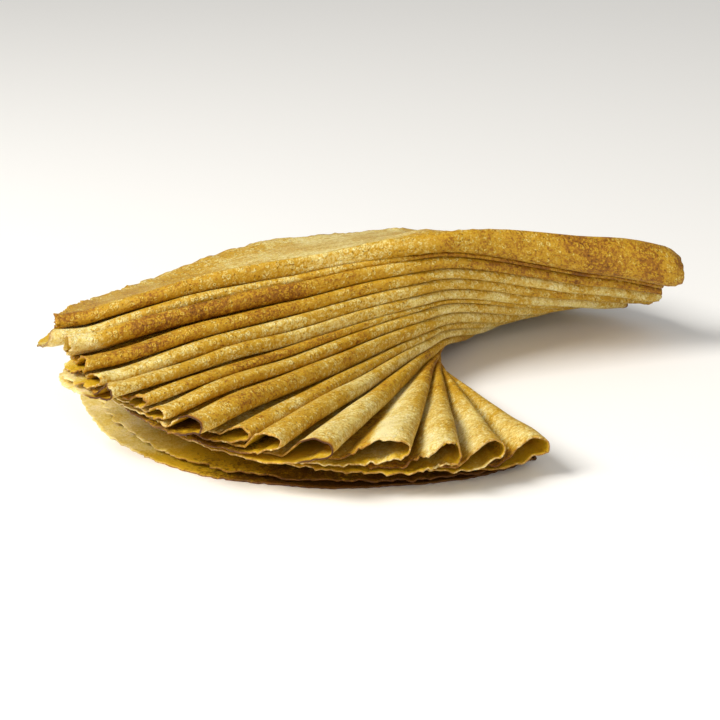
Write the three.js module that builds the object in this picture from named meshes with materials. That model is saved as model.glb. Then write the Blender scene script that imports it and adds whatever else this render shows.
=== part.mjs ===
// A stack of thin crepes, each folded in half. Every fold line crosses the
// same upright line, the hub, and each crepe lies turned a little further
// round it than the one above, so the folds fan out like a hand of cards.
//
// Millimetres, Z up, the floor at z = 0. Angles are in degrees seen from
// above, from +X (right) towards +Y (back). Everything is measured from the
// hub, and at the end the middle of the whole pile is moved over the origin.
import * as THREE from 'three';
import { mergeVertices } from 'three/addons/utils/BufferGeometryUtils.js';

const { lerp, smoothstep, degToRad } = THREE.MathUtils;

// One crepe
const RADIUS = 135;          // half the width of a crepe laid out flat
const LEAF = 0.65;           // thickness of the crepe itself
const PAIR = 1.5;            // two leaves lying together, with the air between
const GAP = 0.5;             // air between two crepes at the hub
const HUB_SIZE = 50;         // distance over which the leaves close at the hub
const DEPTH = 0.93;          // a crepe is a little oval: depth behind the fold

// The heights of the stack, a crepe at a time from the floor up
const HUB_LOW = 2.3;         // rise of each of the lower crepes at the hub
const HUB_HIGH = 4.0;        // rise of each of the upper crepes at the hub
const LOW_COUNT = 6;         // how many crepes count as lower
const RIM_BACK = 1.8;        // rise of each crepe at the back rim
const RIM_FRONT = 2.55;      // rise of each crepe along the open fold ends
const BACK_TURNS = [70, 150]; // directions between which the back rim lies
const FRONT_TURNS = [20, 190]; // directions where the folds begin on either side
const DOME = 1.6;            // how full the front stands between hub and rim
const RIM_REACH = 140;       // distance from the hub to the rim

// The right side hangs over the missing lower crepes
const SAG_FIRST = 0.2;       // slope of the topmost fold to the right
const SAG_LAST = 0.35;       // slope of the lower folds to the right
const SAG_SPREAD = 60;       // turn from the one slope to the other
const SAG_START = 8;         // rounding of the slope at the hub
const SAG_SPARE = 3.4;       // how many of the lowest crepes do not sag
const SAG_GAIN = 1.2;        // how fully the others sink into the room under them

// The fold tubes
const FRONT_ROOM = 0.5;      // share of the room to the next fold taken in front
const BACK_ROOM = 0.42;      // share of the room to the last fold taken behind
const LEAST_WIDE = 0.8;      // overhang of a fold pressed flat
const BACK_SLOPE = 1.3;      // steepest rise from the leaf to the top of a fold
const HIDDEN_TALL = 4.4;     // height of a fold at its drooping right end
const HIDDEN_WIDE = 4;       // overhang of a fold at its drooping right end

// Each crepe from the top one down: the direction of its open fold end, the
// length from the hub to that end, and the height and overhang of the mouth.
const CREPES = [
  { turn: 191.5, reach: 163, tall: 7.5, wide: 6, hubTall: 9, endTall: 19, endWide: 9 },
  { turn: 195, reach: 161, tall: 2.4, wide: 2, flat: true },
  { turn: 200.5, reach: 160, tall: 10, wide: 6 },
  { turn: 206, reach: 159, tall: 7, wide: 6 },
  { turn: 211, reach: 162, tall: 7, wide: 6 },
  { turn: 215, reach: 164, tall: 8, wide: 6 },
  { turn: 218.5, reach: 154, tall: 5.5, wide: 5 },
  { turn: 222.5, reach: 154, tall: 6, wide: 6, aside: 3 },
  { turn: 230.5, reach: 158, tall: 11.5, wide: 8, aside: 2 },
  { turn: 236, reach: 147, tall: 7, wide: 7, aside: 6 },
  { turn: 241, reach: 150, tall: 10, wide: 9, aside: 4 },
  { turn: 249, reach: 150, tall: 11, wide: 9, aside: 9 },
  { turn: 260, reach: 142, tall: 12, wide: 11, aside: 6 },
  { turn: 268.5, reach: 142, tall: 12, wide: 10, aside: 12 },
  { turn: 276.5, reach: 136, tall: 12, wide: 10, aside: 9 },
  { turn: 284, reach: 131, tall: 12, wide: 9, aside: 16 },
  { turn: 286, reach: 124, tall: 2.2, wide: 2, flat: true, aside: 22 },
  { turn: 288, reach: 121, tall: 2.2, wide: 2, flat: true, aside: 28 },
];

// Rings of points round the hub, as shares of the way out to the rim
const RINGS = [0, 0.15, 0.4, 0.7, 1];
const RAY_STEP = 12;         // turn between two rays of points on a leaf
const RAY_MARGIN = 3.9;       // least turn between a ray and a fold

const direction = (turn) => {
  const a = degToRad(turn);
  return new THREE.Vector2(Math.cos(a), Math.sin(a));
};

// Height at the hub of a crepe with so many others under it
const hubHeight = (under) =>
  Math.min(under, LOW_COUNT) * HUB_LOW + Math.max(under - LOW_COUNT, 0) * HUB_HIGH;

// Height of the same crepe before it sags, at a distance and direction
function layHeight(under, far, turn) {
  const right = 1 - smoothstep(turn, FRONT_TURNS[0], BACK_TURNS[0]);
  const left = smoothstep(turn, BACK_TURNS[1], FRONT_TURNS[1]);
  const rim = under * lerp(RIM_BACK, RIM_FRONT, right + left);
  const share = Math.min(far / RIM_REACH, 1) ** lerp(1, DOME, left);
  return lerp(hubHeight(under), rim, share);
}

// How many crepes lie under the one whose hidden fold end points this way
function underAt(turn) {
  const last = CREPES.length - 1;
  const ends = CREPES.map((crepe) => crepe.turn - 180);
  if (turn <= ends[0]) return last;
  if (turn >= ends[last]) return 0;
  const next = ends.findIndex((end) => end >= turn);
  const part = (turn - ends[next - 1]) / (ends[next] - ends[next - 1]);
  return last - (next - 1 + part);
}

// How far everything has sunk on the right, where lower crepes are missing
function sag(far, turn) {
  const gap = layHeight((underAt(turn) - SAG_SPARE) * SAG_GAIN, far, turn);
  if (gap <= 0) return 0;
  const share = (turn - CREPES[0].turn + 180) / SAG_SPREAD;
  const slope = lerp(SAG_FIRST, SAG_LAST, Math.min(Math.max(share, 0), 1));
  const wanted = slope * (Math.hypot(far, SAG_START) - SAG_START);
  return wanted * gap / Math.cbrt(wanted ** 3 + gap ** 3);
}

// Distance from the hub to the rim of a crepe in one direction
// `aside` is how far its middle lies from the fold, on the lower leaf's side.
function rimAt(crepe, turn, upper) {
  const way = direction(turn - crepe.turn);
  way.y /= DEPTH;
  const aside = (crepe.aside ?? 0) * (upper ? 1 : -1);
  const middle = new THREE.Vector2(crepe.reach - RADIUS, aside);
  const [along, size] = [way.dot(middle), way.lengthSq()];
  const root = along ** 2 + size * (RADIUS ** 2 - middle.lengthSq());
  return (along + Math.sqrt(root)) / size;
}

// Room to the next fold above (-1) or below (+1), at a distance. A flat fold
// does not count, unless a swollen one would hang down on it.
function room(index, step, far, open) {
  if (CREPES[index].flat) return 0;
  let other = index + step;
  while (CREPES[other]?.flat && (open || step < 0)) other += step;
  if (!CREPES[other]) return Infinity;
  const between = Math.abs(CREPES[other].turn - CREPES[index].turn);
  return far * Math.sin(degToRad(between));
}

// Thickness of a folded crepe at the hub, where it fills its place in the stack
function hubThick(index) {
  const under = CREPES.length - 1 - index;
  return CREPES[index].hubTall ?? hubHeight(under + 1) - hubHeight(under) - GAP;
}

// Thickness of a folded crepe away from its fold
const pairThick = (index, far) => lerp(hubThick(index), PAIR, Math.min(far / HUB_SIZE, 1));

// The cross-section of a fold: from the upper leaf round the front to the
// lower leaf, as pairs of overhang and height. An open fold end swells
// upwards. A hidden one hangs down, except on the topmost crepe.
function foldSection(index, share, open, inset) {
  const crepe = CREPES[index];
  const under = CREPES.length - 1 - index;
  const turn = open ? crepe.turn : crepe.turn - 180;
  const far = share * rimAt(crepe, turn, true);
  const low = layHeight(under, far, turn) - sag(far, turn);
  const pair = pairThick(index, far);
  const tall = open ? crepe.tall : crepe.endTall ?? HIDDEN_TALL;
  const wide = open ? crepe.wide : crepe.endWide ?? HIDDEN_WIDE;

  const up = open || index === 0;
  const ahead = FRONT_ROOM * room(index, open ? 1 : -1, far, open);
  const behind = BACK_ROOM * room(index, up ? -1 : 1, far, open);
  const front = Math.min(lerp(LEAST_WIDE, wide, share), Math.max(ahead, LEAST_WIDE));
  const back = Math.min(1.8 * wide * share, behind);
  const steep = BACK_SLOPE * (back - LEAST_WIDE);
  const swell = Math.max(0, Math.min(lerp(hubThick(index), tall, share) - pair, steep));

  const floor = up ? low : Math.max(low - swell, 0);
  const roof = up ? low + pair + swell : low + pair;
  const middle = (floor + roof) / 2;
  const half = (roof - floor) / 2 - inset;
  const round = [80, 42, 0, -42, -80].map((lean) => {
    const side = direction(lean);
    return [side.x * (front - inset), middle + side.y * half];
  });
  const high = low + pair;
  const points = [
    [-back, high - inset],
    [-0.45 * back, lerp(high, roof, 0.6) - inset],
    ...round,
    [-0.45 * back, lerp(low, floor, 0.6) + inset],
    [-back, low + inset],
  ];
  return { points, far, turn };
}

// One ring of points round a crepe: over the upper leaf, round the open fold,
// back along the lower leaf and round the hidden fold.
function ring(index, share, inset) {
  const crepe = CREPES[index];
  const under = CREPES.length - 1 - index;
  const rays = [];
  const first = crepe.turn - 180 + RAY_MARGIN;
  const last = crepe.turn - RAY_MARGIN;
  for (let turn = Math.ceil(first / RAY_STEP) * RAY_STEP; turn < last; turn += RAY_STEP) {
    rays.push(turn);
  }
  const leaf = (turn, upper) => {
    const far = share * rimAt(crepe, turn, upper);
    const low = layHeight(under, far, turn) - sag(far, turn);
    const thick = pairThick(index, far);
    const flat = direction(turn).multiplyScalar(far);
    return [flat.x, flat.y, upper ? low + thick - inset : low + inset];
  };
  const fold = (open) => {
    const { points, far, turn } = foldSection(index, share, open, inset);
    const along = direction(turn).multiplyScalar(far);
    const out = direction(crepe.turn + 90);
    return points.map(([n, z]) => [along.x + n * out.x, along.y + n * out.y, z]);
  };
  return [
    ...rays.map((turn) => leaf(turn, true)),
    ...fold(true),
    ...rays.reverse().map((turn) => leaf(turn, false)),
    ...fold(false).reverse(),
  ];
}

// The closed body of one crepe: outer skin from the hub to the rim, then inner
// skin back to the hub. Both leaves are split into triangles along the same
// lines, so that neighbours lie evenly on one another.
function crepeGeometry(index) {
  const rings = RINGS.map((share) => ring(index, share, 0));
  rings.push(...RINGS.map((share) => ring(index, share, LEAF)).reverse());
  const count = rings[0].length;
  const faces = [];
  for (let row = 0; row < rings.length - 1; row += 1) {
    for (let i = 0; i < count; i += 1) {
      const a = row * count + i;
      const b = row * count + (i + 1) % count;
      const [c, d] = [a + count, b + count];
      if (i < count / 2) faces.push(a, c, b, b, c, d);
      else faces.push(a, c, d, a, d, b);
    }
  }
  const shape = new THREE.BufferGeometry();
  shape.setAttribute('position', new THREE.Float32BufferAttribute(rings.flat(2), 3));
  shape.setIndex(faces);
  return dropSlivers(mergeVertices(shape, 1e-3));
}

// Take out the triangles that have closed up at the hub
function dropSlivers(shape) {
  const kept = [];
  const index = Array.from(shape.index.array);
  for (let i = 0; i < index.length; i += 3) {
    const [a, b, c] = index.slice(i, i + 3);
    if (a !== b && b !== c && c !== a) kept.push(a, b, c);
  }
  shape.setIndex(kept);
  shape.computeVertexNormals();
  return shape;
}

const stack = new THREE.Group();
stack.name = 'stack_of_crepes';
CREPES.forEach((crepe, index) => {
  const skin = new THREE.MeshStandardMaterial({ color: 0xd9a441, roughness: 0.7 });
  skin.name = 'crepe';
  const mesh = new THREE.Mesh(crepeGeometry(index), skin);
  mesh.name = `crepe_${String(index + 1).padStart(2, '0')}`;
  stack.add(mesh);
});

const middle = new THREE.Box3().setFromObject(stack).getCenter(new THREE.Vector3());
stack.position.set(-middle.x, -middle.y, 0);

export default stack;
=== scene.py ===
# %% [markdown]
# # A fanned stack of folded crepes
#
# Eighteen thin crepes lie folded in half, one on another. All the fold lines
# cross one upright line, the hub, and each crepe lies turned a little further
# round it than the one above. On the left and in front the folds end in open
# mouths, on the right the pile hangs over the gap the lower crepes leave.
#
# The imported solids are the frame. Each crepe is built again here as what it
# really is: one thin round sheet, folded, with a ragged crisp rim.

# %% The frame
import math

import bmesh
import bpy
import numpy as np
from mathutils import Matrix, Vector


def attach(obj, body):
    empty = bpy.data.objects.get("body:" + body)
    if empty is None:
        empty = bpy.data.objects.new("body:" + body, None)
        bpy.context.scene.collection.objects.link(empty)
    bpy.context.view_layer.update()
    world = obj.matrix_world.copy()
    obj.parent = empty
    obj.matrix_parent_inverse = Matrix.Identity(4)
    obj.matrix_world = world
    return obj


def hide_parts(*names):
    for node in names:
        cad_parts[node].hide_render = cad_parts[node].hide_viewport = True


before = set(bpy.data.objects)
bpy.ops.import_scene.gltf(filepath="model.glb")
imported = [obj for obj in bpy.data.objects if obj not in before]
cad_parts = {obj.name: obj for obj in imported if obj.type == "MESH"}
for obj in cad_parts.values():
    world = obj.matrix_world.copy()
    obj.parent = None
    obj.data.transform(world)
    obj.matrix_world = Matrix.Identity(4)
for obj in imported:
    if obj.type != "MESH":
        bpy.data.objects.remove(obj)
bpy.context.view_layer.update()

# %% [markdown]
# ## Where things are
#
# The pile is worked out in millimetres from the hub, with angles in degrees
# as seen from above, from the right towards the back. At the end everything is
# moved by the place of the hub and scaled to metres. The same named sizes
# make the solids, so each sheet lies exactly where its solid does.

# %% Sizes of a crepe
MM = 0.001                   # metres in a millimetre
HUB = (27.617, 1.910)        # the hub's place under the pile, mm
RADIUS = 135                 # half the width of a crepe laid out flat
DEPTH = 0.93                 # a crepe is a little oval: depth behind the fold
LEAF = 0.62                  # thickness of the crepe itself
PAIR = 1.5                   # two leaves lying together, with the air between
GAP = 0.15                   # air between two crepes at the hub
print("a crepe is", 2 * RADIUS, "mm wide laid out flat and", LEAF, "mm thick")

# %% [markdown]
# ## Eighteen crepes, one row each
#
# No two crepes in the pile lie or look alike: each has its own direction, its
# own mouth and its own browning. Copies of one crepe would show, so each one
# gets a row of its own. It starts from common values, and a row only says
# what is different. The browning is given at six places along the fold,
# because that band is what can be seen of most crepes.

# %% One row for each crepe
TOAST_PLACES = (-110, -35, 25, 75, 130, 155)   # along the fold, from the hub towards the mouth, mm
COMMON = dict(aside=0, flat=False, hub_tall=None, end_tall=5, end_wide=4, rag=1, lobes=(),
              flank=0, groove=0, back_pale=0, lower=0.5, edge=0.4)


def crepe(turn, reach, tall, wide, toast_and_painted_light, **more):
    """One crepe: where its open fold end points, how far it reaches from the
    hub, and the height and overhang of its mouth. Lengths are in mm.
    `hub_tall` is the fold's height at the hub, where it isn't worked out, and
    `end_tall` and `end_wide` belong to the hidden end. `aside` is how far past
    the fold line the crepe's middle lies, so that the lower leaf is larger.
    A `flat` crepe has no mouth, and `rag` is how ragged its rim is. `lobes`
    are places where the rim runs further out, or less far: degrees from the
    open end (over 180 on the lower leaf), length, width in degrees, and lift.
    `toast_and_painted_light` is how brown the crepe is at TOAST_PLACES; in
    some rows it also holds painted shade, in others a painted highlight. The
    others are added to it: `flank` beside the fold line, `groove` where
    the next crepe lies against it, which is painted shade, and `lower` on the
    lower leaf. `back_pale` is taken off further back, a painted highlight.
    `edge` is how burnt the lip of the mouth is, from 0 to 1."""
    return dict(COMMON, turn=turn, reach=reach, tall=tall, wide=wide, toast_and_painted_light=toast_and_painted_light, **more)


CREPES = [
    # The top crepe's roll is browner at its hidden right end partly as painted shade, where it turns away
    # from the window light, and partly its own colour.
    crepe(191.5, 163, 8.5, 5.5, hub_tall=9, end_tall=18.2, end_wide=9,
          lobes=[(180, 3.8, 30, 0), (58, 0, 24, 3), (112, -3, 24, 0)],
          toast_and_painted_light=(.8, .75, .15, .4, .6, .7), back_pale=.1),
    # Crepes 2 and 3 are browner at their right ends, under the top roll: partly their own colour, partly the
    # roll's shadow painted in.
    crepe(195.5, 161, 8, 4.5, end_tall=1.5, lobes=[(355, 11.5, 7, -1.2), (180, -5, 25, 0)],
          toast_and_painted_light=(.9, .9, .5, .4, .3, 0), edge=.8),
    crepe(200.5, 163, 11, 6, end_tall=4.5, lobes=[(180, 1.5, 20, 0)],
          toast_and_painted_light=(.8, .8, .4, .95, 1.05, -.1)),
    crepe(206, 161, 8, 6, end_tall=6, lobes=[(354, 6, 4, 0), (180, 3.5, 20, 0)], rag=1.6,
          toast_and_painted_light=(.2, .2, .4, .7, .8, .6), lower=-.8),
    crepe(211, 163, 7.5, 6, end_tall=5.5, lobes=[(350, 7, 6, 1), (180, 10, 20, 0)], rag=2.2,
          toast_and_painted_light=(.45, .45, .3, .35, .3, .2), lower=-.8),
    crepe(215, 165, 8, 6, end_tall=6, lobes=[(346, 8, 6, 1), (180, 3, 20, 0)], rag=1.6,
          toast_and_painted_light=(.15, .15, .25, .35, .4, .2), lower=-.8, edge=1),
    crepe(218.5, 156, 6, 5, end_tall=4, lobes=[(340, 7, 6, 1)], rag=1.6,
          toast_and_painted_light=(.5, .45, .35, .7, .7, .4), lower=-.8, edge=.7),
    crepe(222.5, 155, 6.5, 6, aside=3, end_tall=4.5, lobes=[(334, 6, 8, 0)],
          toast_and_painted_light=(.3, .3, .25, .5, .55, .3), lower=-.8),
    crepe(230.5, 158, 11.5, 8, aside=2, end_tall=5.5, toast_and_painted_light=(.2, .25, .35, .6, .6, .4), edge=1),
    crepe(236, 148, 7.5, 7, aside=6, toast_and_painted_light=(.15, .2, .3, .5, .45, .3)),
    crepe(241, 150, 10.5, 9, aside=4, toast_and_painted_light=(.15, .2, .25, .2, .5, .4)),
    # From here on the groove values paint shade where the next crepe lies against the cone.
    crepe(249, 150, 12, 9, aside=7, toast_and_painted_light=(.2, .3, .4, .2, -.1, .1), flank=.2, groove=.5, edge=1),
    # Crepes 13 and 14 are paler towards their mouths partly as a painted highlight on their lit ridges, and
    # partly their own pale colour.
    crepe(260, 142, 13, 9, aside=3, rag=1.6, toast_and_painted_light=(0, 0, .1, -.3, -.55, -.2), flank=.85, groove=1.1),
    crepe(268.5, 142, 13.5, 7, aside=4, rag=3, toast_and_painted_light=(.1, .1, .25, 0, -.2, .1), flank=.6, groove=1.1,
          edge=.5),
    crepe(276.5, 135, 13.5, 5.5, aside=2, lobes=[(338, -6, 13, 0)],
          toast_and_painted_light=(.1, .1, .25, 0, -.1, .2), flank=.45, groove=1.1),
    crepe(284, 129, 13, 7, aside=4, lobes=[(334, -8, 14, 0)],
          toast_and_painted_light=(.1, .1, .25, .05, .1, .3), flank=.4, groove=1.1),
    # The two flat bottom crepes are painted dark brown in front: painted shade under the mouths of the crepes
    # above.
    crepe(286, 120, 2.2, 2, flat=True, aside=22, rag=2, lobes=[(0, -4, 12, 0)],
          toast_and_painted_light=(-.6, -.6, -.4, .8, 1.5, 1.6), lower=0, edge=.2),
    crepe(288, 117, 2.2, 2, flat=True, aside=28, lobes=[(0, -6, 12, 0)],
          toast_and_painted_light=(-.6, -.6, -.4, 1.1, 2, 2.1), lower=0),
]
LAST = len(CREPES) - 1
print("crepes:", len(CREPES), "fan from", CREPES[0]["turn"], "to", CREPES[-1]["turn"])

# %% [markdown]
# ## How high each crepe lies
#
# The pile is thickest at the hub, where every crepe is doubled over, and from
# there each crepe falls away to the rim. A cloth simulation could let the
# crepes fall on one another, but it would lay them differently each time a
# size is changed. One law of height for all of them is simpler, and keeps
# them from cutting into one another.

# %% Heights
HUB_HEIGHTS = (0, 2.3, 4.6, 6.9, 9.1, 11.3, 13.6, 17.5, 21.2, 24.2, 29.3, 33.8, 35.9, 40.5,
               45.5, 50.3, 55.7, 57.8)       # undersides at the hub, from the lowest up, mm
ROUNDING = 16                                # how softly the pile bends over the hub, mm
RIM_BACK, RIM_FRONT = 1.8, 2.55              # what each crepe adds to the pile at its rim, mm
RIGHT_TURNS, LEFT_TURNS = (20, 70), (150, 190)     # where front and back meet, degrees
RIM_REACH, PAST_RIM = 140, 1.08              # distance to the rim, mm, and where the fall ends
DOME = 1.45                                  # how full the slope is on the left and in front


def lerp(a, b, share):
    return a + (b - a) * share


def smooth(x, low, high):
    """A soft step, from 0 at `low` to 1 at `high`."""
    share = np.clip((x - low) / (high - low), 0, 1)
    return share * share * (3 - 2 * share)


def hub_height(under):
    return np.interp(under, np.arange(len(HUB_HEIGHTS)), HUB_HEIGHTS)


def eased(far):
    """Distance from the hub, rounded off near it."""
    return np.hypot(far, ROUNDING) - ROUNDING


def lay_height(under, far, turn):
    """Underside of a crepe with `under` crepes below it all round."""
    right = 1 - smooth(turn, *RIGHT_TURNS)
    left = smooth(turn, *LEFT_TURNS)
    rim = under * lerp(RIM_BACK, RIM_FRONT, right + left)
    share = np.minimum(eased(far) / eased(RIM_REACH), PAST_RIM) ** lerp(1, DOME, left)
    return lerp(hub_height(under), rim, share)


print("hub height of the top crepe:", round(float(hub_height(LAST)), 1), "mm")

# %% [markdown]
# ### The hanging right side
#
# On the right the folds of the lower crepes are turned away to the back, and
# nothing holds the upper crepes up. Each place sinks through the room that is
# left below it, but no steeper than a soft crepe hangs. The two are joined by
# a soft minimum, so that no crease shows where one takes over.

# %% Sagging
ENDS = np.array([item["turn"] - 180 for item in CREPES])     # directions of the hidden fold ends
MISSING = (0, 3, 6, 9, 13, 17)               # so many crepes are missing below a place
FREE = (0, 0, 3.6, 5.6, 9.5, 13.5)           # and the room is so many crepes high
FREE_START = 45                              # the room opens over this far from the hub, mm
HANGS, HANGS_TURNS = (0.19, 0.35), 60        # slopes of a hanging crepe, over so many degrees


def sag(far, turn):
    """How far everything has sunk where the lower crepes are missing."""
    missing = np.interp(turn, ENDS, LAST - np.arange(len(CREPES)))
    free = np.interp(missing, MISSING, FREE)
    gap = np.maximum(lay_height(free, far, turn) * smooth(far, 0, FREE_START), 1e-6)
    slope = lerp(*HANGS, np.clip((turn - ENDS[0]) / HANGS_TURNS, 0, 1))
    wanted = slope * eased(far)
    return wanted * gap / np.cbrt(wanted ** 3 + gap ** 3 + 1e-9)


print("sag at the right rim:", round(float(sag(RIM_REACH, ENDS[0])), 1), "mm")

# %% [markdown]
# ### Soft swells
#
# Nothing soft lies quite even. A noise texture on a Displace modifier would
# move each sheet by itself, and they would run into one another. A few sine
# waves in random directions do the same as a plain function of the place, and
# all sheets read it, so the unevenness goes down through the whole pile.

# %% Swells, and the height of a crepe
WAVES = ((0.45, 80, 3), (0.2, 30, 4))        # height and size in mm, and first seed
WAVES_START = (20, 90)                       # they grow over these distances from the hub, mm
WAVES_HIGH = 25                              # and are fully there so high above the floor, mm


def swells(x, y, size, seed, count=8):
    """Soft random swells of about 1, `size` mm apart."""
    chance = np.random.default_rng(seed)
    total = np.zeros(np.broadcast(x, y).shape)
    for _ in range(count):
        way, phase = chance.uniform(0, 2 * math.pi, 2)
        rate = 2 * math.pi / (size * chance.uniform(0.7, 1.5))
        total += np.sin(rate * (x * math.cos(way) + y * math.sin(way)) + phase)
    return total / math.sqrt(count)


def layered_swells(x, y, layers, index=0):
    """Swells of several sizes. A layer is height, size and first seed."""
    return sum(height * swells(x, y, size, seed + index) for height, size, seed in layers)


def from_hub(x, y):
    """Distance from the hub and direction in degrees, from -30 to 330."""
    turn = np.degrees(np.arctan2(y, x)) % 360
    return np.hypot(x, y), np.where(turn > 330, turn - 360, turn)


def ground(index, x, y):
    """Underside of a crepe at a place on the table plane."""
    far, turn = from_hub(x, y)
    low = lay_height(LAST - index, far, turn) - sag(far, turn)
    loose = np.clip(low / WAVES_HIGH, 0, 1) * smooth(far, *WAVES_START)
    return low + loose * layered_swells(x, y, WAVES)


print("top crepe at the right rim:", np.round(ground(0, RIM_REACH, 0), 1), "mm")

# %% [markdown]
# ## The outline of a crepe
#
# A crepe is batter that ran out on a griddle, so its rim isn't a true circle:
# it wanders by a few millimetres and is finely ragged where it set thin and
# crisp. The rim is a distance from the hub for each direction on the flat
# crepe, with the fold line at 0 and 180 degrees and the upper leaf between.

# %% Rims
WANDER = ((0.78, 60, 10), (0.36, 17, 40))    # height and size in mm, and first seed
TOP_WANDER = 2 / 3                           # the top crepe ran out rounder than the others
RAGGED = ((0.4, 5.5, 70), (0.2, 2.6, 99))    # the same, for the crisp last millimetres


def lobe(angle, place, width):
    """A soft hump of 1 round a place on the rim, in degrees."""
    return np.exp(-(((angle - place + 180) % 360 - 180) / width) ** 2)


def rim_at(index, angle):
    """How far the rim is from the hub: an oval about the crepe's own middle,
    met by a line from the hub, and what the batter did."""
    item = CREPES[index]
    way = np.radians(angle)
    ahead, across = np.cos(way), np.sin(way) / DEPTH
    middle = (item["reach"] - RADIUS, -item["aside"])
    along = ahead * middle[0] + across * middle[1]
    size = ahead ** 2 + across ** 2
    root = along ** 2 + size * (RADIUS ** 2 - middle[0] ** 2 - middle[1] ** 2)
    oval = (along + np.sqrt(root)) / size
    x, y = oval * np.cos(way), oval * np.sin(way)
    rim = oval + layered_swells(x, y, WANDER, index) * (1 if index else TOP_WANDER)
    rim = rim + layered_swells(x, y, RAGGED, index) * item["rag"]
    for place, extra, width, _ in item["lobes"]:
        rim = rim + extra * lobe(angle, place, width)
    return rim


print("the top crepe's rim at the mouth:", round(float(rim_at(0, np.zeros(1))[0]), 1), "mm")

# %% [markdown]
# ## The fold
#
# Where a crepe is folded it doesn't lie flat: the doubled sheet stays open in
# a soft tube, which is pressed flat at the hub and widens to a mouth at the
# rim. Its cross-section at each place along the fold is a smooth curve from the
# upper leaf round the front to the lower leaf. The curve is measured along its
# length, so that the flat crepe can be laid on it without stretching.
#
# First comes the room that a fold has, between its neighbours in the fan.

# %% Room for a fold
STATIONS = np.linspace(0, 175, 71)           # places along a fold where it is worked out, mm
TOP_CLOSES = 57.5                            # the top crepe's leaves close over this far, mm
UNLIMITED = 999                              # room where no neighbour is in the way, mm


def room(index, step, is_open):
    """Room to the fold line of the next crepe above or below, at each station.
    Flat crepes don't count, except below a hidden end, and need none."""
    if CREPES[index]["flat"]:
        return STATIONS * 0
    other = index + step
    while 0 <= other <= LAST and CREPES[other]["flat"] and (is_open or step < 0):
        other += step
    if not 0 <= other <= LAST:
        return STATIONS * 0 + UNLIMITED
    return STATIONS * math.sin(math.radians(abs(CREPES[other]["turn"] - CREPES[index]["turn"])))


def hub_thick(index):
    """Height of a fold at the hub."""
    under = LAST - index
    return CREPES[index]["hub_tall"] or float(hub_height(under + 1) - hub_height(under)) - GAP


def pair_thick(index, far, turn):
    """Distance between the undersides of the two leaves of one crepe."""
    if index == 0:
        return lerp(hub_thick(0), PAIR, smooth(far, 0, TOP_CLOSES))
    under = LAST - index
    return np.maximum(lay_height(under + 1, far, turn) - lay_height(under, far, turn) - GAP, PAIR)


print("thickest fold at the hub:", round(max(hub_thick(i) for i in range(len(CREPES))), 1), "mm")

# %% [markdown]
# ### How wide and how high the tube is
#
# A fold stands out in front of its line and swells up behind it, and both grow
# along the fold, towards the mouth. The open ends swell upwards, and the lower
# leaf of the mouth is lifted a little from the crepe below. The hidden ends on
# the right hang down into the gap, except the top one, which is a thick roll.

# %% Sizes along a fold
PAST_END = 1.05                              # shares of the fold's length go on to here
NOSE, BACK = 0.8, 0.6                        # least overhang in front and behind, mm
HUB_NOSE, HUB_NOSE_ENDS = 0.45, 60           # more at the hub: share of its height, and how far
AHEAD = 0.5                                  # share of the room in front that a fold takes
# share of the room behind, reach behind as a multiple of the overhang, steepest slope
OPEN_END = dict(behind=0.75, spread=2.6, steep=1.5)
HIDDEN_END = dict(behind=0.7, spread=1.8, steep=2.0)
LEVEL_BACK = 0.4                             # the slope counts from this far behind the fold, mm
SLOW_START = 0.06                            # share of its length where a hidden end is still low
BULGES, TOP_BULGES = 0.07, 0.02              # how uneven a fold's height is, as a share
BULGE_SIZE, BULGE_SEED, BULGE_START = 55, 200, (20, 70)    # mm, and where along the fold they grow
LIP_LIFT, LIP_LIFT_START = 0.42, 0.1         # how much of the swelling lifts the lower lip


def fold_sizes(index, is_open):
    """At each station: the share of the fold's length, overhang in front and
    behind, thickness of the two leaves, lowest and highest place of the tube,
    and lift of the lower lip."""
    item = CREPES[index]
    end = OPEN_END if is_open else HIDDEN_END
    length = item["reach"] if is_open else 2 * RADIUS - item["reach"]
    turn = item["turn"] - (0 if is_open else 180)
    tall, wide = (item["tall"], item["wide"]) if is_open else (item["end_tall"], item["end_wide"])
    upwards = is_open or index == 0
    share = np.minimum(STATIONS / length, PAST_END)
    pair = pair_thick(index, STATIONS, turn)
    least = HUB_NOSE * hub_thick(index) * (1 - smooth(STATIONS, 0, HUB_NOSE_ENDS)) + NOSE
    ahead = AHEAD * room(index, 1 if is_open else -1, is_open)
    behind = end["behind"] * room(index, -1 if upwards else 1, is_open)
    front = np.minimum(np.maximum(lerp(NOSE, wide, share), least), np.maximum(ahead, least))
    back = np.minimum(end["spread"] * wide * share, behind)
    steepest = end["steep"] * np.maximum(back - LEVEL_BACK, 0)
    rise = share
    if not is_open:
        rise = np.clip((np.hypot(share, SLOW_START) - SLOW_START) / (1 - SLOW_START), 0, 1)
    if not is_open and index == 0:           # the roll is nearly full height early on
        rise = rise * (2 - rise)
    uneven = swells(STATIONS, 0 * STATIONS, BULGE_SIZE, BULGE_SEED + index)
    bulge = 1 + (BULGES if index else TOP_BULGES) * uneven * smooth(STATIONS, *BULGE_START)
    height = lerp(hub_thick(index), tall, rise) * bulge
    swell = np.clip(np.minimum(height - pair, steepest), 0, None)
    lift = LIP_LIFT * swell * smooth(share, LIP_LIFT_START, 1) * is_open
    return dict(share=share, front=front, back=np.maximum(back, BACK), pair=pair,
                low=-swell * (not upwards), high=pair + swell * upwards, lift=lift)


roll = fold_sizes(0, False)
print("the top roll stands up to", round(float(roll["high"].max()), 1), "mm high at its hidden end")

# %% [markdown]
# ### The curve of each section
#
# A curve object could be swept along the fold, but then nothing would say
# which place of the flat crepe lies where on it. So each section is worked
# out as points on a smooth curve through a few knots: the round nose of the
# fold, and then the leaf that comes down behind it to lie on its partner.

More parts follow.
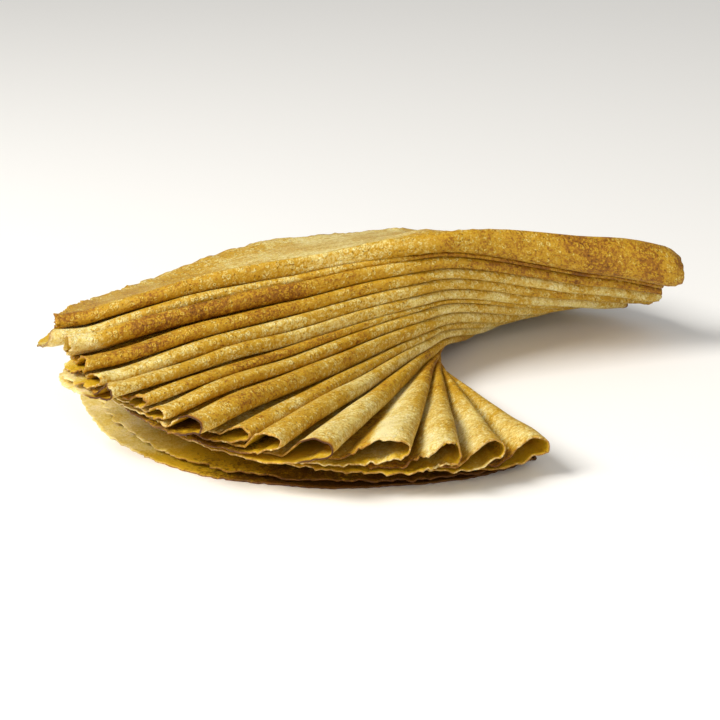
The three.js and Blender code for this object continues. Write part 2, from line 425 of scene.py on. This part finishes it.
# %% Section curves
CURVE = 65                                   # points along each half of a section
NOSE_ANGLES = (0, 22, 45, 68, 84)            # knots round the nose, degrees
NOSE_ROUND, NOSE_UP = 0.75, 0.9              # under 1 the nose is fuller than a true ellipse
TAIL = ((0.2, 0.9), (0.45, 0.66), (0.72, 0.33), (1, 0))     # shares of the way back and height
LOWER_LIFT = 0.45                            # share of the lift that the leaf behind has
CURL, CURL_START = 0.3, (0.95, 1.05)         # how much the roll's end curls in, and where
CURL_MIDDLE = (-0.1, 0.5)                    # what it curls round: shares of its back and height


def curve_through(knots, count):
    """Points on a smooth curve through knots. Knots are (stations, k, 2)."""
    ends = [2 * knots[:, :1] - knots[:, 1:2], 2 * knots[:, -1:] - knots[:, -2:-1]]
    k = np.concatenate([ends[0], knots, ends[1]], axis=1)
    place = np.linspace(0, knots.shape[1] - 1 - 1e-9, count)
    i = place.astype(int)
    t = (place - i)[None, :, None]
    a, b, c, d = (k[:, i + j] for j in range(4))
    return 0.5 * (2 * b + (c - a) * t + (2 * a - 5 * b + 4 * c - d) * t ** 2
                  + (3 * b - a - 3 * c + d) * t ** 3)


def half_knots(sizes, side):
    """Knots of the upper half of a fold's sections, side 1, or the lower, -1."""
    low, high, lift = sizes["low"], sizes["high"], sizes["lift"]
    middle, half = (low + lift + high) / 2, (high - low - lift) / 2
    edge = high if side > 0 else low + LOWER_LIFT * lift
    leaf = sizes["pair"] if side > 0 else 0 * lift
    knots = []
    for angle in np.radians(NOSE_ANGLES):
        knots.append((sizes["front"] * math.cos(angle) ** NOSE_ROUND,
                      middle + side * half * math.sin(angle) ** NOSE_UP))
    for away, up in TAIL:
        knots.append((-sizes["back"] * away, lerp(leaf, edge, up)))
    return np.stack([np.stack(knot, -1) for knot in knots], 1)


def fold_tables(index, is_open):
    """For each station along a fold end: the curve of the upper half and of
    the lower half, from the nose back, and the length along it."""
    sizes = fold_sizes(index, is_open)
    halves = []
    for side in (1, -1):
        knots = half_knots(sizes, side)
        if not is_open and index == 0:       # the thick roll curls in at its end
            curl = 1 - CURL * smooth(sizes["share"], *CURL_START)[:, None, None] ** 2
            centre = np.stack([CURL_MIDDLE[0] * sizes["back"], CURL_MIDDLE[1] * sizes["high"]], -1)[:, None]
            knots = centre + (knots - centre) * curl
        line = curve_through(knots, CURVE)
        steps = np.hypot(*np.moveaxis(np.diff(line, axis=1), -1, 0))
        run = np.concatenate([np.zeros((len(STATIONS), 1)), np.cumsum(steps, 1)], 1)
        halves.append((line, run))
    return halves


tables = [[fold_tables(index, is_open) for is_open in (True, False)] for index in range(len(CREPES))]
print("fold stations:", len(STATIONS), "points on each curve:", CURVE)

# %% [markdown]
# ### From the flat crepe onto the fold
#
# A place on the flat crepe is known by how far it is along the fold line and
# how far from it. The same length is walked along the section's curve, and
# what is left over goes straight on along the leaf.

# %% Laying on a section
def lay_on_section(halves, along, across, upper):
    """Offset from the fold line and height over the leaf, for places on the
    flat crepe, and which of them lie beyond the tube, on the leaf itself."""
    line, run = halves[0 if upper else 1]
    station = np.clip(along / STATIONS[1], 0, len(STATIONS) - 1.001)
    low = station.astype(int)
    t = station - low
    whole = lerp(run[low, -1], run[low + 1, -1], t)
    share = np.clip(across / whole, 0, 1)
    points = []
    for row in (low, low + 1):
        target = share * run[row, -1]
        j = np.clip((run[row] < target[:, None]).sum(1) - 1, 0, CURVE - 2)
        span = run[row, j + 1] - run[row, j]
        s = np.clip((target - run[row, j]) / np.maximum(span, 1e-9), 0, 1)[:, None]
        points.append(lerp(line[row, j], line[row, j + 1], s))
    point = lerp(*points, t[:, None])
    beyond = np.maximum(across - whole, 0)
    return point[:, 0] - beyond, point[:, 1], beyond > 0


mouth = lay_on_section(tables[0][0], np.array([150.0]), np.array([5.0]), True)
print("5 mm from the fold line, near the top mouth:", np.round([mouth[0][0], mouth[1][0]], 1), "mm")

# %% [markdown]
# ## Laying the sheet
#
# Each sheet starts as a flat grid of squares. One way round the grid goes round
# the crepe's rim, the other from the hub out to it, and every vertex is moved
# to where that place of the flat crepe lies in the pile. The grid is finer at
# the folds and at the rim, where the shape changes fastest.

# %% Grid
ROUND_FOLD, ROUND_LEAF = 84, 200             # steps round a fold and across a leaf
FOLD_ANGLE, CROWDING = 17, 1.15              # degrees that half a fold takes, closer at its line
RING_SHARES = np.array([0, 0.012, 0.03, 0.055, 0.09, 0.13, 0.18, 0.24, 0.31, 0.38, 0.45, 0.52, 0.59,
                        0.66, 0.725, 0.785, 0.84, 0.885, 0.92, 0.95, 0.975, 0.99, 1])


def round_angles():
    """Directions of the grid's columns, from one open fold end right round."""
    half = ROUND_FOLD // 2
    near = FOLD_ANGLE * np.linspace(0, 1, half, endpoint=False) ** CROWDING
    leaf = np.linspace(FOLD_ANGLE, 180 - FOLD_ANGLE, ROUND_LEAF, endpoint=False)
    away = 180 - FOLD_ANGLE * np.linspace(1, 0, half, endpoint=False) ** CROWDING
    first = np.concatenate([near, leaf, away])
    return np.concatenate([first, first + 180, [360]])


ANGLES = round_angles()
print("grid:", len(ANGLES), "round by", len(RING_SHARES), "out")

# %% [markdown]
# ### Where each vertex goes
#
# The flat crepe is laid on the fold's curves for the open end and the hidden
# end, upper leaf and lower leaf. Then it is lifted to its height in the pile.
# Last come the small waves of the crisp rim, which are strongest at its very
# edge, and the lobes that stand up.

# %% Places of the vertices
RIM_WAVES = ((1, 0.92, 11, 130), (0.7, 0.96, 3.5, 160))    # part, share where it starts, size, seed
RIM_LOOSE = 0.3                              # height of these waves, mm
LIFT_START = 0.86                            # share of the way out where a lobe lifts
FLOOR_AIR = 0.01                             # nothing goes under the floor, mm


def flat_sheet(index):
    """The vertices on the flat crepe, row by row: direction, share of the way
    out, place along and across the fold line, and distance to the rim."""
    angle, share = np.meshgrid(ANGLES, RING_SHARES)
    rim = rim_at(index, ANGLES)
    rim[-1] = rim[0]
    along = share * rim * np.cos(np.radians(angle))
    across = share * rim * np.sin(np.radians(angle))
    border = (1 - share) * rim
    return [values.ravel() for values in (angle, share, along, across, border)]


def folded(index, flat_x, flat_y, upper):
    """Offset from the fold line and height over the leaf for each vertex."""
    offset, height = np.zeros_like(flat_x), np.zeros_like(flat_x)
    beyond = np.zeros(len(flat_x), bool)
    for end, is_open in enumerate((True, False)):
        for top in (True, False):
            pick = ((flat_x >= 0) == is_open) & (upper == top)
            got = lay_on_section(tables[index][end], np.abs(flat_x[pick]), np.abs(flat_y[pick]), top)
            offset[pick], height[pick], beyond[pick] = got
    return offset, height, beyond


def place_sheet(index):
    """Places and flat coordinates of all vertices of one crepe, in mm."""
    item = CREPES[index]
    angle, share, flat_x, flat_y, border = flat_sheet(index)
    upper = angle <= 180
    offset, height, beyond = folded(index, flat_x, flat_y, upper)
    turn = math.radians(item["turn"])
    ahead = np.array([math.cos(turn), math.sin(turn)])
    across = np.array([-math.sin(turn), math.cos(turn)])
    xy = flat_x[:, None] * ahead + offset[:, None] * across
    rest = flat_x[:, None] * ahead + np.minimum(offset, 0)[:, None] * across
    leaf_height = np.where(upper, pair_thick(index, *from_hub(rest[:, 0], rest[:, 1])), 0)
    height = np.where(beyond, leaf_height, height)
    waves = 0
    for part, start, size, seed in RIM_WAVES:
        waves = waves + part * smooth(share, start, 1) * swells(flat_x, flat_y, size, seed + index)
    # a lip that nothing lies on waves as much as it is ragged
    height = height + np.where(beyond, RIM_LOOSE, RIM_LOOSE * item["rag"]) * waves
    for place, _, width, lift in item["lobes"]:
        height = height + lift * lobe(angle, place, width) * smooth(share, LIFT_START, 1)
    z = np.maximum(ground(index, rest[:, 0], rest[:, 1]) + height, FLOOR_AIR)
    return np.column_stack([xy, z]), flat_x, flat_y, border


top_sheet = place_sheet(0)[0]
print("the top crepe stands up to", round(float(top_sheet[:, 2].max()), 1), "mm high")

# %% [markdown]
# ### One sheet, and what its batter remembers
#
# A UV map would do for a picture, but the browning follows how the crepe was
# baked and how it lies. So each vertex keeps its place on the flat crepe, how
# far it is from the rim, how brown it is and how burnt its edge would be, as
# attributes that the material reads. The browning also carries painted light:
# some crepes are painted darker in the groove where the next one lies against
# them, which is painted shade, and the top crepe is painted paler further back
# on its leaf, a painted highlight. Some crepes are browner beside the fold line.

# %% One sheet
PATTERN_START, PATTERN_STEP = 200, 400       # each crepe has its own stretch of the pattern, mm
FLANK_WIDE = 9                               # how far the browner flank reaches from the fold line, mm
BACK_HIGHLIGHT_FROM, LOWER_FROM = (25, 90), (12, 25)   # where the painted highlight on the back and the lower leaf begin, mm
GROOVE_SHADE_FROM = (15, 22)                       # painted shade where the next crepe lies against this one, mm
LIP_ENDS, DRY_EDGE = (14, 26), 0.35          # where the lip ends, mm, and how burnt a rim is past it


def bake_marks(item, flat_x, flat_y):
    """How brown the batter is, with painted shade in the groove and a painted highlight further back added
    in, and how burnt its edge would be.
    """
    # the row's browning, which in some rows also holds painted shade and painted highlight
    brown = np.interp(flat_x, TOAST_PLACES, item["toast_and_painted_light"])
    brown += item["flank"] * np.exp(-(flat_y / FLANK_WIDE) ** 2)
    # painted highlight: the top crepe's leaf is made paler further back, where the window light falls on it
    brown -= item["back_pale"] * smooth(flat_y, *BACK_HIGHLIGHT_FROM)
    brown += item["lower"] * smooth(-flat_y, *LOWER_FROM)
    # painted shade: browner where the next crepe lies against this one and shades it
    brown += item["groove"] * smooth(flat_y, *GROOVE_SHADE_FROM)
    charred = lerp(item["edge"], DRY_EDGE, smooth(np.abs(flat_y), *LIP_ENDS))
    return brown, charred


def make_sheet(index):
    place, flat_x, flat_y, border = place_sheet(index)
    mesh = bpy.data.meshes.new(f"crepe_{index + 1:02d}_sheet")
    bm = bmesh.new()
    bmesh.ops.create_grid(bm, x_segments=len(ANGLES) - 1, y_segments=len(RING_SHARES) - 1, size=1)
    bm.to_mesh(mesh)
    bm.free()
    spot = np.empty(len(mesh.vertices) * 3)
    mesh.vertices.foreach_get("co", spot)
    spot = spot.reshape(-1, 3)
    column = np.rint((spot[:, 0] + 1) / 2 * (len(ANGLES) - 1)).astype(int)
    row = np.rint((spot[:, 1] + 1) / 2 * (len(RING_SHARES) - 1)).astype(int)
    order = row * len(ANGLES) + column
    world = (place[order] + (*HUB, 0)) * MM
    mesh.vertices.foreach_set("co", world.ravel())
    start = (PATTERN_START + PATTERN_STEP * index, PATTERN_START, 0)
    pattern = np.column_stack([flat_x, flat_y, 0 * flat_x]) + start
    flat = mesh.attributes.new("flat", "FLOAT_VECTOR", "POINT")
    flat.data.foreach_set("vector", (pattern[order] * MM).ravel())
    # the browning carries painted shade and painted highlight as well
    brown, charred = bake_marks(CREPES[index], flat_x, flat_y)
    for name, values in (("toast_and_painted_light", brown), ("border", border * MM), ("charred", charred)):
        layer = mesh.attributes.new(name, "FLOAT", "POINT")
        layer.data.foreach_set("value", values[order].astype(np.float32))
    bm = bmesh.new()
    bm.from_mesh(mesh)
    bmesh.ops.remove_doubles(bm, verts=bm.verts, dist=1e-6)
    for face in bm.faces:
        face.smooth = True
    bm.to_mesh(mesh)
    bm.free()
    return bpy.data.objects.new(mesh.name, mesh)


print("browning at the top mouth:", bake_marks(CREPES[0], np.array([150.0]), np.zeros(1))[0])

# %% [markdown]
# ## The look of a crepe
#
# Crepe batter is flour, egg and milk. On a hot greased griddle it sets quickly:
# pale cream-yellow where it barely touches, golden over most of the face, and
# brown in a lace of rings where steam bubbles held it on the fat. A picture of a
# crepe could be laid on, but it would blur close up and repeat on all eighteen.
# So the pattern is grown from noise. It is read at the place on the crepe
# before it was folded, the "flat" attribute, and runs over the folds as a real
# one does. Each crepe has its own stretch of the pattern.

# %% Adding nodes
def linear(hexcode):
    """An sRGB hex colour as Blender's linear colour."""
    values = [int(hexcode[i:i + 2], 16) / 255 for i in (1, 3, 5)]
    return tuple(v / 12.92 if v <= 0.04045 else ((v + 0.055) / 1.055) ** 2.4 for v in values) + (1,)


def node(tree, kind, settings=None, links=None):
    """Adds a node, sets its properties and sockets, and links its inputs.
    A setting is a property where its name is in lower case, else a socket."""
    made = tree.nodes.new(kind)
    for key, value in (settings or {}).items():
        if isinstance(key, str) and key.islower():
            setattr(made, key, value)
        else:
            made.inputs[key].default_value = value
    for key, source in (links or {}).items():
        tree.links.new(source, made.inputs[key])
    return made


print("a golden crepe in linear colour:", [round(value, 2) for value in linear("#be921e")])

# %% [markdown]
# ### Noise and bubbles
#
# Heat reaches a crepe unevenly on several scales at once, so four noises are
# added up: patches as wide as a flame, clouds, lacy mottling and the grain of
# the flour. The bubble rings are Voronoi cells, whose distance from the middle
# gives a ring, and a few cells of a second set are pinholes where a bubble
# burst. A soft step lets a pattern through where a second one allows it, by
# taking that one as its highest value.

# %% Patterns on the flat crepe
NOISES = (                   # size in mm, detail and roughness
    (30, 2, 0.55),           # browned patches
    (10, 3, 0.6),            # clouds
    (2.2, 4, 0.8),           # lacy mottling
    (1.0, 2, 0.55),          # grain, drawn about twice its real size so that it shows
)
RINGS, HOLES = 2.1, 2.3      # distance between bubbles and between pinholes, mm
WAVER_SIZE, WAVER = 2.6, 1.5                 # size and strength of the rings' wavering, mm
RING_GRAIN = 0.35                            # how much the grain frays a ring
RING_INSIDE, RING_OUTSIDE = (0.22, 0.45), (0.8, 0.45)        # where a ring starts and ends
RINGS_KEPT, RINGS_APART = (0.25, 0.9), (0, 0.14)   # some bubbles are faint, and none touch
HOLES_KEPT, HOLE_WIDE = (0.66, 0.8), (0.22, 0.07)  # few bubbles burst, and how wide
SOFT = {"interpolation_type": "SMOOTHSTEP"}
CELLS = {"voronoi_dimensions": "2D"}
PLANE = {"noise_dimensions": "2D"}
EACH_MM = 1000                               # a texture's scale is patterns to a metre


def noise_layers(tree, flat):
    """Patches, clouds, mottling and grain, each between 0 and 1."""
    layers = []
    for size, detail, roughness in NOISES:
        settings = {**PLANE, "Scale": EACH_MM / size, "Detail": detail, "Roughness": roughness}
        layers.append(node(tree, "ShaderNodeTexNoise", settings, {"Vector": flat}).outputs["Fac"])
    return layers


def bubble_marks(tree, flat, grain):
    """Lacy rings and pinholes, each 1 where it is strongest."""
    waver = node(tree, "ShaderNodeTexNoise", {**PLANE, "Scale": EACH_MM / WAVER_SIZE}, {"Vector": flat})
    place = node(tree, "ShaderNodeVectorMath", {"operation": "MULTIPLY_ADD", 1: (WAVER * MM,) * 3},
                 {0: waver.outputs["Color"], 2: flat}).outputs[0]
    lace = {**CELLS, "Scale": EACH_MM / RINGS}
    cells = node(tree, "ShaderNodeTexVoronoi", lace, {"Vector": place})
    edges = node(tree, "ShaderNodeTexVoronoi", {**lace, "feature": "DISTANCE_TO_EDGE"}, {"Vector": place})
    chance = node(tree, "ShaderNodeSeparateColor", None, {0: cells.outputs["Color"]}).outputs[0]
    away = node(tree, "ShaderNodeMath", {"operation": "MULTIPLY_ADD", 1: RING_GRAIN},
                {0: grain, 2: cells.outputs["Distance"]}).outputs[0]
    ring = node(tree, "ShaderNodeMapRange", {**SOFT, "From Min": RING_INSIDE[0], "From Max": RING_INSIDE[1]},
                {"Value": away})
    for value, (none, full) in ((away, RING_OUTSIDE), (chance, RINGS_KEPT),
                                (edges.outputs["Distance"], RINGS_APART)):
        ring = node(tree, "ShaderNodeMapRange", {**SOFT, "From Min": none, "From Max": full},
                    {"Value": value, "To Max": ring.outputs[0]})
    holes = node(tree, "ShaderNodeTexVoronoi", {**CELLS, "Scale": EACH_MM / HOLES}, {"Vector": place})
    burst = node(tree, "ShaderNodeSeparateColor", None, {0: holes.outputs["Color"]}).outputs[1]
    few = node(tree, "ShaderNodeMapRange", {**SOFT, "From Min": HOLES_KEPT[0], "From Max": HOLES_KEPT[1]},
               {"Value": burst})
    pinhole = node(tree, "ShaderNodeMapRange", {**SOFT, "From Min": HOLE_WIDE[0], "From Max": HOLE_WIDE[1]},
                   {"Value": holes.outputs["Distance"], "To Max": few.outputs[0]})
    return ring.outputs[0], pinhole.outputs[0]


print("noises of", [size for size, *_ in NOISES], "mm, bubbles", RINGS, "mm apart")

# %% [markdown]
# ### The singed rim
#
# At the rim the batter ran out thin, dried first and singed. It is browned over
# the last two millimetres, here and there, and burnt over the last half where
# the lip of a mouth caught the heat.

# %% Singed rim
RIM_BROWN, RIM_BURNT = (2.6 * MM, 0.2 * MM), (0.8 * MM, 0.2 * MM)   # from the rim: none to full, m
DRY_FROM, DRY_LEAST = (0.3, 0.9), 0.2        # a rim that isn't burnt is still a little brown
PATCHY = (0.35, 0.6)                         # the clouds leave parts of the rim pale
BURNT_FROM = (0.65, 1)                       # only the most burnt lips go black


def singed_rim(tree, border, charred, clouds):
    """How brown and how burnt the rim is."""
    dry = node(tree, "ShaderNodeMapRange", {**SOFT, "From Min": DRY_FROM[0], "From Max": DRY_FROM[1],
                                            "To Min": DRY_LEAST}, {"Value": charred})
    uneven = node(tree, "ShaderNodeMapRange", {**SOFT, "From Min": PATCHY[0], "From Max": PATCHY[1]},
                  {"Value": clouds, "To Max": dry.outputs[0]})
    brown = node(tree, "ShaderNodeMapRange", {**SOFT, "From Min": RIM_BROWN[0], "From Max": RIM_BROWN[1]},
                 {"Value": border, "To Max": uneven.outputs[0]})
    black = node(tree, "ShaderNodeMapRange", {**SOFT, "From Min": BURNT_FROM[0], "From Max": BURNT_FROM[1]},
                 {"Value": charred})
    burnt = node(tree, "ShaderNodeMapRange", {**SOFT, "From Min": RIM_BURNT[0], "From Max": RIM_BURNT[1]},
                 {"Value": border, "To Max": black.outputs[0]})
    return brown.outputs[0], burnt.outputs[0]


print("browned rim:", round(RIM_BROWN[0] / MM, 1), "mm, burnt rim:", round(RIM_BURNT[0] / MM, 1), "mm")

# %% [markdown]
# ### From a level of browning to a colour
#
# Baking has one direction: batter goes from cream over pale and gold to brown
# and nearly black. So every pattern is added to one level of browning, and one
# ramp turns that level into a colour. Mixing a colour for each pattern would
# give tones that no crepe has.

# %% Browning
BROWNING = (0.9, 0.9, 1.5, 0.9)              # how strongly patches, clouds, mottling and grain count
LIGHT_RINGS = 0.65                           # how much paler a bubble ring is than the batter round it
LEAST, MOST = 1.0, 3.6                       # the levels of browning that the ramp covers
CREAM_ENDS, PALE_AT, GOLD_AT = -0.05, 0.42, 0.88   # levels over the lowest one of a finish
GOLD_ENDS, BROWN_AT, DARK_AT = 2.65, 3.0, 3.4      # levels that all finishes share


def browning_level(tree, layers, ring, lace):
    """The level of browning: what the vertex says, with its painted shade and highlight, and the patterns on
    it.
    """
    level = node(tree, "ShaderNodeAttribute", {"attribute_name": "toast_and_painted_light"}).outputs["Fac"]
    for layer, weight in (*zip(layers, BROWNING), (ring, -LIGHT_RINGS * lace)):
        level = node(tree, "ShaderNodeMath", {"operation": "MULTIPLY_ADD", 1: weight},
                     {0: layer, 2: level}).outputs[0]
    return level


def baked_colour(tree, level, colours, low):
    """The colour of batter at each level of browning."""
    share = node(tree, "ShaderNodeMapRange", {"From Min": LEAST, "From Max": MOST}, {"Value": level})
    ramp = node(tree, "ShaderNodeValToRGB", None, {"Fac": share.outputs[0]})
    cream, pale, gold, brown, dark = colours
    stops = ((low + CREAM_ENDS, cream), (low + PALE_AT, pale), (low + GOLD_AT, gold),
             (GOLD_ENDS, gold), (BROWN_AT, brown), (DARK_AT, dark))
    places = [(place - LEAST) / (MOST - LEAST) for place, _ in stops]
    for place in places[2:]:                 # a new ramp has two stops already
        ramp.color_ramp.elements.new(place)
    for stop, place, (_, colour) in zip(ramp.color_ramp.elements, places, stops):
        stop.position = place
        stop.color = linear(colour)
    return ramp.outputs["Color"]


print("levels of browning from", LEAST, "to", MOST)

# %% [markdown]
# ### Griddled batter
#
# Baked batter is a soft, slightly moist solid. Its IOR of 1.4 lies between
# water and fat, and a roughness of about a half is the dull gloss that the
# butter leaves on it. Light soaks a millimetre or two into the thin sheet,
# red furthest, which keeps the shaded mouths warm. The surface rises and
# sinks with the clouds, the mottling and the bubbles, and a bump is enough
# for that, because all of it is lower than a millimetre.

# %% Griddled batter
IOR, ROUGHNESS, SPECULAR = 1.4, 0.48, 0.35
SOAK, SOAK_COLOURS = 2 * MM, (1.0, 0.7, 0.2)       # how far light goes in, m, and how much of each colour
RELIEF, RELIEF_STRENGTH = 0.8 * MM, 0.8      # height of the bump, m
MOTTLE_HIGH, BUBBLE_HIGH = 0.75, 0.6         # parts of it that mottling and bubbles have
PIT_LEVELS, PIT_DARK = (1.9, 2.7), (0.3, 0.8)      # pinholes are darker where the batter is browner


def griddled_batter(name, colours, low, lace, glow):
    """Batter from cream through gold to burnt. `low` is the level of browning
    where cream ends, `lace` how strongly bubble marks show, and `glow` how
    much light soaks through the thin moist sheet."""
    material = bpy.data.materials.new(name)
    material.use_nodes = True
    tree = material.node_tree
    tree.nodes.clear()
    flat = node(tree, "ShaderNodeAttribute", {"attribute_name": "flat"}).outputs["Vector"]
    border = node(tree, "ShaderNodeAttribute", {"attribute_name": "border"}).outputs["Fac"]
    charred = node(tree, "ShaderNodeAttribute", {"attribute_name": "charred"}).outputs["Fac"]
    layers = noise_layers(tree, flat)
    _, clouds, mottle, grain = layers
    ring, pinhole = bubble_marks(tree, flat, grain)
    level = browning_level(tree, layers, ring, lace)
    colour = baked_colour(tree, level, colours, low)
    deep = node(tree, "ShaderNodeMapRange", {**SOFT, "From Min": PIT_LEVELS[0], "From Max": PIT_LEVELS[1],
                                             "To Min": PIT_DARK[0] * lace, "To Max": PIT_DARK[1] * lace},
                {"Value": level})
    pit = node(tree, "ShaderNodeMath", {"operation": "MULTIPLY"}, {0: deep.outputs[0], 1: pinhole}).outputs[0]
    singed, burnt = singed_rim(tree, border, charred, clouds)
    brown, dark = colours[3:]
    for amount, tint in ((pit, dark), (singed, brown), (burnt, dark)):
        colour = node(tree, "ShaderNodeMix", {"data_type": "RGBA", 7: linear(tint)},
                      {0: amount, 6: colour}).outputs[2]
    rise = clouds
    for layer, weight in ((mottle, MOTTLE_HIGH), (ring, BUBBLE_HIGH * lace), (pinhole, -BUBBLE_HIGH * lace)):
        rise = node(tree, "ShaderNodeMath", {"operation": "MULTIPLY_ADD", 1: weight},
                    {0: layer, 2: rise}).outputs[0]
    bump = node(tree, "ShaderNodeBump", {"Strength": RELIEF_STRENGTH, "Distance": RELIEF}, {"Height": rise})
    shader = node(tree, "ShaderNodeBsdfPrincipled",
                  {"Roughness": ROUGHNESS, "IOR": IOR, "Specular IOR Level": SPECULAR,
                   "Subsurface Weight": glow, "Subsurface Scale": SOAK, "Subsurface Radius": SOAK_COLOURS},
                  {"Base Color": colour, "Normal": bump.outputs["Normal"]})
    node(tree, "ShaderNodeOutputMaterial", None, {"Surface": shader.outputs[0]})
    print("material:", name, "with", len(tree.nodes), "nodes")
    return material


# %% [markdown]
# ### Outer face, inner face and cut edge
#
# The first face of a crepe lies longest on the griddle, and it is the one that
# is folded outwards. It is mottled gold and brown, with the bubble lace, and
# has the soft gloss of the butter on it. The second face only steams and takes
# a few spots: it is plain mustard-yellow and moist, and light goes further
# into it. The edge of the sheet is dry and crisp.

# %% The three finishes
outer_face = griddled_batter("griddled_crepe_outer_face",
                             ("#f0dfa3", "#dec776", "#be921e", "#996410", "#6c420a"),
                             low=1.6, lace=0.75, glow=0.15)
inner_face = griddled_batter("steamed_crepe_inner_face",
                             ("#e4d098", "#d8bf62", "#c69f1c", "#815d08", "#5a360a"),
                             low=1.3, lace=0.1, glow=0.2)
cut_edge = griddled_batter("crisp_crepe_edge",
                           ("#e6d294", "#d8bc7a", "#a87c2e", "#74480f", "#4f2c08"),
                           low=1.6, lace=0.2, glow=0.15)

# %% [markdown]
# ## The pile
#
# The sheets so far have no thickness. Solid leaves could be modelled by hand,
# but the Solidify modifier does the same to every sheet: it adds the inner
# face under the outer one and the narrow cut edge between them, and gives each
# its own material. Each sheet takes the place of the solid of the same crepe.

# %% The eighteen sheets
triangles = 0
for index, item in enumerate(CREPES):
    sheet = make_sheet(index)
    bpy.context.scene.collection.objects.link(sheet)
    for material in (outer_face, inner_face, cut_edge):
        sheet.data.materials.append(material)
    wall = sheet.modifiers.new("thickness", "SOLIDIFY")
    wall.thickness = LEAF * MM
    wall.offset = -1
    wall.use_rim = True
    wall.material_offset = 1
    wall.material_offset_rim = 2
    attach(sheet, "root")
    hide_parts(f"crepe_{index + 1:02d}")
    triangles += 4 * len(sheet.data.polygons)
print("crepes:", len(CREPES), "triangles:", triangles)

# %% [markdown]
# ## Floor, light and camera
#
# The pile stands on a plain pale floor, so that nothing draws the eye from it.
# The floor is a real face, not a bright world alone, because the dark line
# where the lowest leaves touch it tells how they lie.

# %% Floor
FLOOR_HALF = 3                               # half the width of the floor, m

mesh = bpy.data.meshes.new("floor")
bm = bmesh.new()
bmesh.ops.create_grid(bm, x_segments=1, y_segments=1, size=FLOOR_HALF)
bm.to_mesh(mesh)
bm.free()
floor = bpy.data.objects.new("floor", mesh)
bpy.context.scene.collection.objects.link(floor)
paint = bpy.data.materials.new("pale_floor")
paint.use_nodes = True
paint.node_tree.nodes["Principled BSDF"].inputs["Base Color"].default_value = linear("#f4f3f0")
paint.node_tree.nodes["Principled BSDF"].inputs["Roughness"].default_value = 0.9
mesh.materials.append(paint)
print("floor:", 2 * FLOOR_HALF, "m wide")

# %% [markdown]
# ### Light
#
# Soft daylight comes from the upper left, as from a window, and rakes over the
# folds so that each one casts a soft shade on the next. A weak wide light in
# front opens the mouths a little, and a dim even room fills the rest. Area
# lights are used, because a point or a sun would give hard shadows.

# %% Light
LIT_PLACE = (0, 0, 0.02)                     # what both lights point at, m
DAYLIGHT = "#fffcf7"                         # white with a trace of warmth
WINDOW = dict(place=(-1.0, -0.45, 1.1), size=0.8, power=28.5)          # m, m and watts
FRONT_FILL = dict(place=(0.2, -1.5, 0.55), size=1.2, power=10)
ROOM_LIGHT = 0.38                            # strength of the even light all round


def soft_light(name, place, size, power):
    data = bpy.data.lights.new(name, "AREA")
    data.shape, data.size, data.energy = "SQUARE", size, power
    data.color = linear(DAYLIGHT)[:3]
    light = bpy.data.objects.new(name, data)
    light.location = place
    light.rotation_euler = (Vector(LIT_PLACE) - Vector(place)).to_track_quat("-Z", "Y").to_euler()
    bpy.context.scene.collection.objects.link(light)
    return light


window = soft_light("window", **WINDOW)
front_fill = soft_light("front_fill", **FRONT_FILL)
world = bpy.data.worlds.new("room")
world.use_nodes = True
world.node_tree.nodes["Background"].inputs["Color"].default_value = (1, 1, 1, 1)
world.node_tree.nodes["Background"].inputs["Strength"].default_value = ROOM_LIGHT
bpy.context.scene.world = world
bpy.context.scene.view_settings.view_transform = "Standard"
print("lights:", window.name, window.data.energy, "W,", front_fill.name, front_fill.data.energy, "W")

# %% [markdown]
# ### Camera
#
# The camera looks down on the pile a little, from more than a metre away, and
# is rolled by a few degrees. A long lens from there keeps the near mouths from
# growing larger than the far ones.

# %% Camera
ELEVATION, ROLL = math.radians(18.5), math.radians(3)
AWAY = 1.1                                   # from the camera to what it looks at, m
LENS, SENSOR = 126.5, 36                     # mm
LOOKED_AT = (-33.4, 3.3, 10.0)               # from the hub on the floor, mm

camera = bpy.data.objects.new("camera", bpy.data.cameras.new("camera"))
camera.data.lens, camera.data.sensor_width = LENS, SENSOR
back = Vector((0, -math.cos(ELEVATION), math.sin(ELEVATION)))
up = Vector((0, math.sin(ELEVATION), math.cos(ELEVATION)))
top = math.sin(ROLL) * Vector((1, 0, 0)) + math.cos(ROLL) * up
side = top.cross(back)
aim = (Vector(LOOKED_AT) + Vector((*HUB, 0))) * MM
turned = Matrix((side, top, back)).transposed().to_4x4()
turned.translation = aim + AWAY * back
camera.matrix_world = turned
bpy.context.scene.collection.objects.link(camera)
bpy.context.scene.camera = camera
print("camera at:", [round(value, 3) for value in turned.translation], "m")
